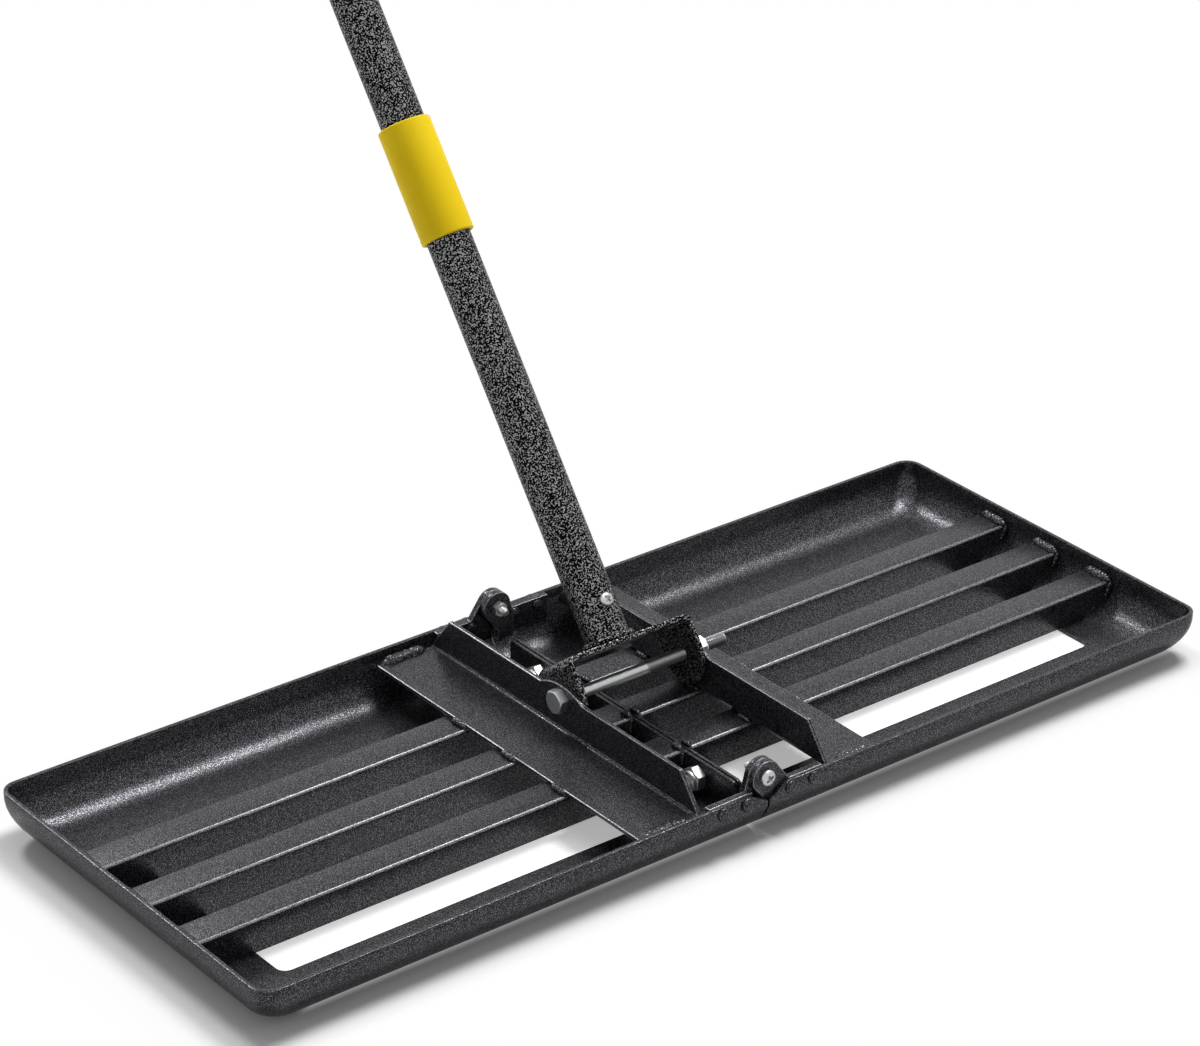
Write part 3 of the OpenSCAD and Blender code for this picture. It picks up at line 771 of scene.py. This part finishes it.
def webs():
    """The two upright webs, back to back, each with rounded upper corners and two bolt holes."""
    outline = [(-WEB_SPAN, SHEET), (WEB_SPAN, SHEET)]
    outline += arc((WEB_SPAN - WEB_CORNER, SLAT_TOP - WEB_CORNER), WEB_CORNER, 0, 90)
    outline += arc((WEB_CORNER - WEB_SPAN, SLAT_TOP - WEB_CORNER), WEB_CORNER, 90, 180)
    for name, side in (("left_web", -1), ("right_web", 1)):
        bm = bmesh.new()
        prism(bm, [[Vector((side * x, y, z)) for y, z in outline] for x in (WEB_GAP, SHEET)])
        obj = piece(name + "_plate", bm, COAT, BASE, sharp=40, bevel=WEB_SOFT_EDGE)
        holes = bmesh.new()
        for end in (-1, 1):
            hole = facing((side, 0, 0), (0, end * LOCK_BOLT_Y, LOCK_BOLT_Z))
            lathe(holes, [(WEB_HOLE, -SHEET), (WEB_HOLE, 2 * SHEET)], place=hole)
        cut_away(obj, holes)
        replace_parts(obj, name)


def weld_bead(bm, start, end, size, up, ripple=BEAD_RIPPLE):
    """Bead with the ripples of the weld pool, laid along a line on a surface."""
    width, height = size
    sides = 12
    tip, taper = 0.18, 1.6
    wave_share, uneven = 0.18, 0.14
    sunk_share = 0.3
    start, end, up = Vector(start), Vector(end), Vector(up).normalized()
    along = end - start
    length = along.length
    across = along.normalized().cross(up)
    steps = max(6, int(length / BEAD_STEP))
    rings = []
    for k in range(steps + 1):
        s = k / steps
        at = start + along * s
        wave = abs(math.sin(math.pi * length * s / ripple))
        ends = min(1.0, tip + s * length / width * taper, tip + (1 - s) * length / width * taper)
        swell = ends * (1 - wave_share + wave_share * wave) * (1 - uneven / 2 + uneven * random.random())
        ring = []
        for i in range(sides):
            turn = 2 * math.pi * i / sides
            rise = math.sin(turn) * height * swell * (1 if math.sin(turn) > 0 else sunk_share)
            ring.append(at + across * math.cos(turn) * width / 2 * swell + up * rise)
        rings.append(ring)
    prism(bm, rings)


def upright_face(side):
    """Inner face of an angle plate's upright."""
    return LEFT_UPRIGHT + SHEET if side < 0 else RIGHT_UPRIGHT - SHEET


def slat_welds(bm, side, near):
    """Beads that hold one slat: at the end wall, at the web and at the angle plate's two edges."""
    top = SLAT_TOP + BEAD_LIFT
    wall = side * (wall_at(SLAT_TOP) - WALL_BEAD_INSET)
    wall_leg = near - WALL_LEG_INSET
    web = side * (SLAT_INNER + WEB_BEAD_INSET)
    web_leg = near - WEB_LEG_INSET
    web_leg_top = SLAT_TOP + WEB_LEG_RISE
    upright = upright_face(side) + side * UPRIGHT_BEAD_INSET
    leg_top, leg_foot = (wall + side * shift for shift in WALL_LEG_SHIFTS)

    def over_slat(x, reach, size, up):
        weld_bead(bm, (x, near + reach[0], top), (x, near + reach[1], top), size, up)

    over_slat(wall, WALL_REACH, WALL_BEAD, (-side * 0.5, 0, 0.85))
    weld_bead(bm, (leg_top, wall_leg, SLAT_TOP), (leg_foot, wall_leg, LEG_BEAD_FOOT),
              WALL_LEG_BEAD, (0, -1, 0))
    weld_bead(bm, (web, web_leg, LEG_BEAD_FOOT), (web, web_leg, web_leg_top),
              WEB_LEG_BEAD, (side * 0.3, -1, 0))
    over_slat(web, WEB_REACH, WEB_BEAD, (side * 0.3, 0, 1))
    over_slat(side * PLATE_OUTER, PLATE_REACH, PLATE_BEAD, (side * 0.7, 0, 0.7))
    over_slat(upright, UPRIGHT_REACH, UPRIGHT_BEAD, (-side * 0.7, 0, 0.7))


def plate_end_weld(bm, side, end):
    """Wide bead over one end of an angle plate."""
    line = end * (PLATE_END - END_BEAD_INSET)
    rest = SLAT_TOP + BEAD_LIFT + END_BEAD_LIFT
    inner = upright_face(side) + side * END_BEAD_FROM_UPRIGHT
    outer = side * (PLATE_OUTER - END_BEAD_FROM_OUTER)
    weld_bead(bm, (inner, line, rest), (outer, line, rest), END_BEAD, (0, -end * 0.3, 1), END_BEAD_RIPPLE)


def base_welds():
    """Beads at the slats' ends, along the angle plates and at their ends."""
    bm = bmesh.new()
    for side in (-1, 1):
        for near in SLAT_NEAR_EDGES:
            slat_welds(bm, side, near)
        for end in (-1, 1):
            plate_end_weld(bm, side, end)
    piece("base_welds", bm, COAT, BASE, sharp=70)


def rivets():
    """Rivets of the four leaves, with crisp low heads outside and closed ends inside."""
    bm = bmesh.new()
    stem = [(RIVET_R, -RIVET_LENGTH), (RIVET_R, RIVET_SEAT), (RIVET_DOME[0][0], RIVET_SEAT)]
    for x in RIVET_PLACES:
        for side in (-1, 1):
            for end in (-1, 1):
                head = facing((0, end, 0), (side * x, end * HALF_DEPTH, RIVET_Z))
                lathe(bm, stem + RIVET_DOME, segments=40, place=head)
                tail = facing((0, -end, 0), (side * x, end * OUTER_EAR_FACE, RIVET_Z))
                lathe(bm, RIVET_TAIL, segments=36, place=tail)
    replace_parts(piece("leaf_rivets", bm, COAT, BASE, sharp=50), "hinge_rivets")


def screw_head(name, size, place, body):
    """Pan head with a cross recess."""
    diameter, height = size
    bm = bmesh.new()
    lathe(bm, [(diameter / 2 * r, height * h) for r, h in PAN_HEAD_SHAPE], place=place)
    head = piece(name, bm, ZINC, body, sharp=50)
    recess = bmesh.new()
    span, width = diameter * RECESS_SPAN, diameter * RECESS_WIDTH
    cross_recess(recess, place, span, width, height * RECESS_DEPTH, height)
    cut_away(head, recess)
    return head


def hinge_hardware():
    """Screws of the two hinges, with their nuts."""
    shanks, nuts = bmesh.new(), bmesh.new()
    depth = WALL_INSIDE - INNER_EAR_FACE
    flats, height = HINGE_NUT
    bore, lead = HINGE_SCREW_R, HINGE_NUT_LEAD
    mouth = [(bore + lead, height), (bore, height - lead), (bore, height * HINGE_NUT_FLOOR)]
    for tag, end in (("near", -1), ("far", 1)):
        ear = (0, end * WALL_INSIDE, HINGE_Z)
        screw_head(tag + "_hinge_head", HINGE_HEAD, facing((0, end, 0), ear), BASE)
        thread(shanks, HINGE_SCREW_R, depth * HINGE_THREAD_SHARE, depth + HINGE_SCREW_TAIL,
               HINGE_SCREW_PITCH, facing((0, -end, 0), ear), groove=HINGE_SCREW_GROOVE, segments=28)
        seat = facing((0, -end, 0), (0, end * INNER_EAR_FACE, HINGE_Z))
        hexagon(nuts, flats, height, mouth, seat, both_chamfers=True)
    shank = piece("hinge_threads", shanks, ZINC, BASE, sharp=60)
    nut = piece("hinge_hex_nuts", nuts, ZINC, BASE, sharp=28)
    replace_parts(shank, "hinge_screws")
    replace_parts(nut, "hinge_nuts")


def lock_nut(steel, insert, place):
    """Hexagon nut with a collar that holds a plastic ring."""
    collar, edge, top = NUT_COLLAR_R, NUT_COLLAR_EDGE, NUT_HEIGHT
    seat_inset, seat_depth = NUT_COLLAR_SEAT
    inward = [(collar, NUT_HEX), (collar, top - edge), (collar - edge, top), (collar - NUT_COLLAR_LIP, top),
              (collar - seat_inset, top - seat_depth)]
    hexagon(steel, BOLT_FLATS, NUT_HEX, inward, place, both_chamfers=True)
    bore, rim = BOLT_R + NUT_RING_CLEARANCE, collar - NUT_RING_INSET
    low, high = (top - depth for depth in NUT_RING)
    section = [(bore, low), (bore, high), (rim, high), (rim, low)]
    lathe(insert, section, segments=40, place=place, closed=True)


def round_head(bm, place):
    """Low dome of a lock bolt."""
    r, h = ROUND_HEAD
    ball = (r * r + h * h) / (2 * h)
    steps = 10
    reach = math.asin(r / ball)
    turns = [reach * (1 - i / steps) for i in range(steps + 1)]
    profile = [(r - ROUND_HEAD_EDGE, 0.0)]
    profile += [(ball * math.sin(t), h - ball + ball * math.cos(t)) for t in turns]
    lathe(bm, profile, place=place)


def lock_bolts():
    """Lock bolts through the webs, with their nuts."""
    bolts, nuts, rings = bmesh.new(), bmesh.new(), bmesh.new()
    length = 2 * SHEET + NUT_HEIGHT + LOCK_BOLT_TAIL
    for end in (-1, 1):
        right = (SHEET, end * LOCK_BOLT_Y, LOCK_BOLT_Z)
        left = (-SHEET, end * LOCK_BOLT_Y, LOCK_BOLT_Z)
        round_head(bolts, facing((1, 0, 0), right))
        thread(bolts, BOLT_R, 0.0, length, BOLT_PITCH, facing((-1, 0, 0), right))
        lock_nut(nuts, rings, facing((-1, 0, 0), left))
    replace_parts(piece("lock_bolt_pair", bolts, ZINC, BASE, sharp=28), "lock_bolts")
    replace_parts(piece("lock_nut_pair", nuts, ZINC, BASE, sharp=28), "lock_nuts")
    piece("lock_nut_rings", rings, NYLON, BASE)


def pivot_bolt():
    """The long bolt that the handle turns on, with its washer and nut."""
    bolt, nut, ring, washer = bmesh.new(), bmesh.new(), bmesh.new(), bmesh.new()
    head = facing((-1, 0, 0), (LEFT_UPRIGHT, 0, PIVOT_Z)) @ Matrix.Rotation(PIVOT_HEAD_TURN, 4, "Z")
    hexagon(bolt, BOLT_FLATS, BOLT_HEAD, [(0.0, BOLT_HEAD)], head)
    axis = facing((1, 0, 0), (0, 0, PIVOT_Z))
    shank = [(PIVOT_SHANK_R, LEFT_UPRIGHT), (PIVOT_SHANK_R, PIVOT_THREAD_START)]
    lathe(bolt, shank, segments=40, place=axis)
    thread(bolt, PIVOT_THREAD_R, PIVOT_THREAD_START, PIVOT_TIP, BOLT_PITCH, axis)
    lock_nut(nut, ring, facing((1, 0, 0), (RIGHT_UPRIGHT + WASHER, 0, PIVOT_Z)))
    edge = WASHER_EDGE
    section = [(WASHER_BORE, 0), (WASHER_R - edge, 0), (WASHER_R, edge), (WASHER_R, WASHER - edge),
               (WASHER_R - edge, WASHER), (WASHER_BORE, WASHER)]
    lathe(washer, section, place=facing((1, 0, 0), (RIGHT_UPRIGHT, 0, PIVOT_Z)), closed=True)
    obj = piece("long_pivot_bolt", bolt, ZINC, BASE, sharp=28)
    second_finish(obj, THREAD_ZINC, lambda face: face.center.x > PIVOT_THREAD_START)
    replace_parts(obj, "pivot_bolt")
    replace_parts(piece("pivot_lock_nut", nut, ZINC, BASE, sharp=28), "pivot_nut")
    piece("pivot_nut_ring", ring, NYLON, BASE)
    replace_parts(piece("pivot_flat_washer", washer, ZINC, BASE), "pivot_washer")


def leaned():
    """Places a form made along +Z from the pivot at the handle's lean."""
    return Matrix.Translation((0, 0, PIVOT_Z)) @ Matrix.Rotation(-LEAN, 4, "X")


def handle_tubes():
    """Tubes of the handle, each with softened ends."""
    inside, lip = TUBE_R - TUBE_WALL, TUBE_R - TUBE_LIP
    for i, node in enumerate(TUBES):
        low = FOOT if i == 0 else JOINT_PITCH * i
        high = JOINT_PITCH * (i + 1)
        bm = bmesh.new()
        section = [(inside, low), (lip, low), (TUBE_R, low + TUBE_LIP)]
        section += [(TUBE_R, high - TUBE_LIP), (lip, high), (inside, high)]
        lathe(bm, section, HANDLE_SEGMENTS, leaned(), closed=True)
        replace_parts(piece(node + "_skin", bm, HAMMERED, HANDLE), node)


def handle_foot():
    """Weld ring between the yoke and the lowest tube, with the spigot inside."""
    bm = bmesh.new()
    place = leaned()
    segments, sides, ripples = 110, 14, 17
    width, height = FOOT_BEAD
    wave_share, uneven = 0.14, 0.06
    lowest = YOKE_RISE - FOOT_BEAD_SINK
    rings = []
    for i in range(segments):
        turn = 2 * math.pi * i / segments
        swell = 1 - wave_share + wave_share * abs(math.sin(turn * ripples)) + uneven * random.random()
        ring = []
        for k in range(sides):
            a = 2 * math.pi * k / sides
            r = FOOT_BEAD_R + math.cos(a) * width * swell
            h = YOKE_RISE + FOOT_BEAD_LIFT + math.sin(a) * height * swell
            ring.append(place @ around(r, turn, max(h, lowest)))
        rings.append(ring)
    skin(bm, rings + rings[:1])
    top = FOOT + SPIGOT_LENGTH
    section = [(SPIGOT_BORE, YOKE_RISE), (SPIGOT_R, YOKE_RISE), (SPIGOT_R, top), (SPIGOT_BORE, top)]
    lathe(bm, section, place=place, closed=True)
    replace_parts(piece("foot_weld", bm, HAMMERED, HANDLE, sharp=60), "spigot")


def cross_screw():
    """Screw through the foot of the lowest tube."""
    place = leaned() @ facing((0, -1, 0), (0, CROSS_SCREW_SINK - TUBE_R, CROSS_SCREW_H))
    head = screw_head("cross_screw_head", CROSS_SCREW_HEAD, place, HANDLE)
    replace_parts(head, "cross_screw")


def joint_sleeves():
    """Short plastic sleeves with rounded lips over the joints of the handle."""
    bm = bmesh.new()
    half, lip = SLEEVE_LENGTH / 2, SLEEVE_LIP
    mouth, lead = SLEEVE_MOUTH
    for i in range(1, len(TUBES)):
        low, high = JOINT_PITCH * i - half, JOINT_PITCH * i + half
        profile = [(OVER_TUBE, low + lead), (OVER_TUBE + mouth, low)]
        profile += arc((SLEEVE_R - lip, low + lip), lip, -90, 0, steps=5)
        profile += arc((SLEEVE_R - lip, high - lip), lip, 0, 90, steps=5)
        profile += [(OVER_TUBE + mouth, high), (OVER_TUBE, high - lead)]
        lathe(bm, profile, HANDLE_SEGMENTS, leaned(), closed=True)
    obj = piece("yellow_joint_sleeves", bm, YELLOW, HANDLE, sharp=50)
    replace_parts(obj, "joint_sleeves")


def hand_grip():
    """Foam grip with a round lip below and ring grooves."""
    bm = bmesh.new()
    low, valley = HANDLE_TOP - GRIP_LENGTH, GRIP_R - GRIP_GROOVE_DEPTH
    width = GRIP_GROOVE_WIDTH
    slope = width / 4
    profile = [(OVER_TUBE, low)]
    profile += arc((GRIP_R - GRIP_LIP, low + GRIP_LIP), GRIP_LIP, -90, 0)
    for i in range(GRIP_GROOVES):
        h = low + GRIP_FIRST_GROOVE + i * 2 * width
        profile += [(GRIP_R, h), (valley, h + slope), (valley, h + width - slope), (GRIP_R, h + width)]
    profile += [(GRIP_R, HANDLE_TOP - GRIP_EDGE), (GRIP_R - GRIP_EDGE, HANDLE_TOP), (OVER_TUBE, HANDLE_TOP)]
    lathe(bm, profile, HANDLE_SEGMENTS, leaned(), closed=True)
    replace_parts(piece("foam_hand_grip", bm, FOAM, HANDLE, sharp=40), "grip")


def end_cap():
    """Plug with a round-edged cap on the handle's end."""
    bm = bmesh.new()
    profile = [(CAP_PLUG_R, HANDLE_TOP - CAP_PLUG_LENGTH), (CAP_PLUG_R, HANDLE_TOP), (GRIP_R, HANDLE_TOP)]
    profile += arc((GRIP_R - CAP_EDGE, HANDLE_TOP + CAP - CAP_EDGE), CAP_EDGE, 0, 90)
    profile.append((0.0, HANDLE_TOP + CAP))
    lathe(bm, profile, HANDLE_SEGMENTS, leaned())
    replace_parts(piece("handle_end_cap", bm, CAP_PLASTIC, HANDLE, sharp=40), "end_cap")


def kept_solids():
    """Solids of the frame that keep their shape."""
    # Angle plates and leaves get the painted highlight on their softened edges
    for node in ("left_angle_plate", "right_angle_plate"):
        dress(node, COAT, PLATE_SOFT_EDGE, BEND_HIGHLIGHT_COAT)
    for node in ("near_left_leaf", "near_right_leaf", "far_left_leaf", "far_right_leaf"):
        dress(node, COAT, LEAF_SOFT_EDGE, BEND_HIGHLIGHT_COAT)
    dress("yoke", HAMMERED, YOKE_SOFT_EDGE)
    dress("joiners", ZINC, JOINER_SOFT_EDGE)


def floor_paper():
    """White paper that keeps the shadow near the base and is plain white beyond it."""
    paper = Finish("floor_paper")
    seen = paper.shown_background()
    white = paper.node("BsdfDiffuse", Color=grey(0.9))
    x = paper.axis("X")
    y = paper.axis("Y")
    beside = ((x + HALF_LENGTH) * -1).larger((x - HALF_LENGTH) * RIGHT_FADE)
    before = ((y + HALF_DEPTH) * -NEAR_FADE).larger((y - HALF_DEPTH) * FAR_FADE)
    away = beside.larger(before)
    under_glow = paper.node("Emission", Color=grey(0.35))
    edge_glow = paper.node("Emission", Color=grey(0.03))
    glow = paper.blend(paper.band(away, *UNDER_GLOW_END), under_glow, edge_glow)
    shaded = paper.node("AddShader", Shader=glow, Shader_001=white)
    bright = paper.node("Emission", Color=grey(1.0))
    ground = paper.blend(paper.band(away, SHADOW_START, SHADOW_REACH), shaded, bright)
    return paper.done(paper.blend(seen, white, ground))


def floor():
    """Square floor under the base."""
    r = FLOOR_REACH
    mesh = bpy.data.meshes.new("floor")
    mesh.from_pydata([(-r, -r, 0), (r, -r, 0), (r, r, 0), (-r, r, 0)], [], [(0, 1, 2, 3)])
    mesh.materials.append(floor_paper())
    obj = bpy.data.objects.new("floor", mesh)
    bpy.context.scene.collection.objects.link(obj)


def surround():
    """World that gives a soft light and shows as white."""
    world = bpy.data.worlds.new("surround")
    bpy.context.scene.world = world
    nodes = Nodes(world)
    soft_light = nodes.node("Background", Color=grey(0.25))
    white_wall = nodes.node("Background", Color=grey(1.0))
    nodes.node("OutputWorld", Surface=nodes.blend(nodes.shown_background(), soft_light, white_wall))


def lamps():
    """Round softboxes that look at the middle: name, place, width in metres, power in watts."""
    softboxes = (
        ("right_softbox", (0.92, 0.15, 2.0), 0.8, 32),
        ("overhead_softbox", (0.1, 0.3, 2.3), 1.6, 6),
        ("left_softbox", (-2.1, -0.05, 0.72), 1.2, 1.1),
        ("front_softbox", (0.26, -1.65, 1.81), 0.32, 0.9),
        ("back_softbox", (-0.1, 1.7, 1.7), 0.5, 20),
    )
    for name, at, width, power in softboxes:
        lamp = bpy.data.lights.new(name, "AREA")
        lamp.shape = "DISK"
        lamp.size = width
        lamp.energy = power
        obj = bpy.data.objects.new(name, lamp)
        obj.matrix_world = facing(at, at)
        bpy.context.scene.collection.objects.link(obj)


def camera():
    """Camera of the photograph."""
    lens = bpy.data.cameras.new("camera")
    lens.lens = LENS
    lens.sensor_fit = "HORIZONTAL"
    lens.sensor_width = SENSOR
    lens.clip_end = CAMERA_REACH
    obj = bpy.data.objects.new("camera", lens)
    a, e = CAMERA_AZIMUTH, CAMERA_ELEVATION
    back = Vector((math.sin(a) * math.cos(e), -math.cos(a) * math.cos(e), math.sin(e)))
    right = (-back).cross(Vector((0, 0, 1))).normalized()
    up = back.cross(right)
    turn = Matrix((right, up, back)).transposed().to_4x4()
    obj.matrix_world = Matrix.Translation(CAMERA_AT) @ turn @ Matrix.Rotation(-CAMERA_ROLL, 4, "Z")
    bpy.context.scene.collection.objects.link(obj)
    bpy.context.scene.camera = obj


camera()
pressed_pan("left_pan", -1)
pressed_pan("right_pan", 1)
slats("left", -1)
slats("right", 1)
webs()
base_welds()
rivets()
hinge_hardware()
lock_bolts()
pivot_bolt()
handle_tubes()
handle_foot()
cross_screw()
joint_sleeves()
hand_grip()
end_cap()
kept_solids()
floor()
surround()
lamps()
bpy.context.scene.view_settings.view_transform = "Standard"
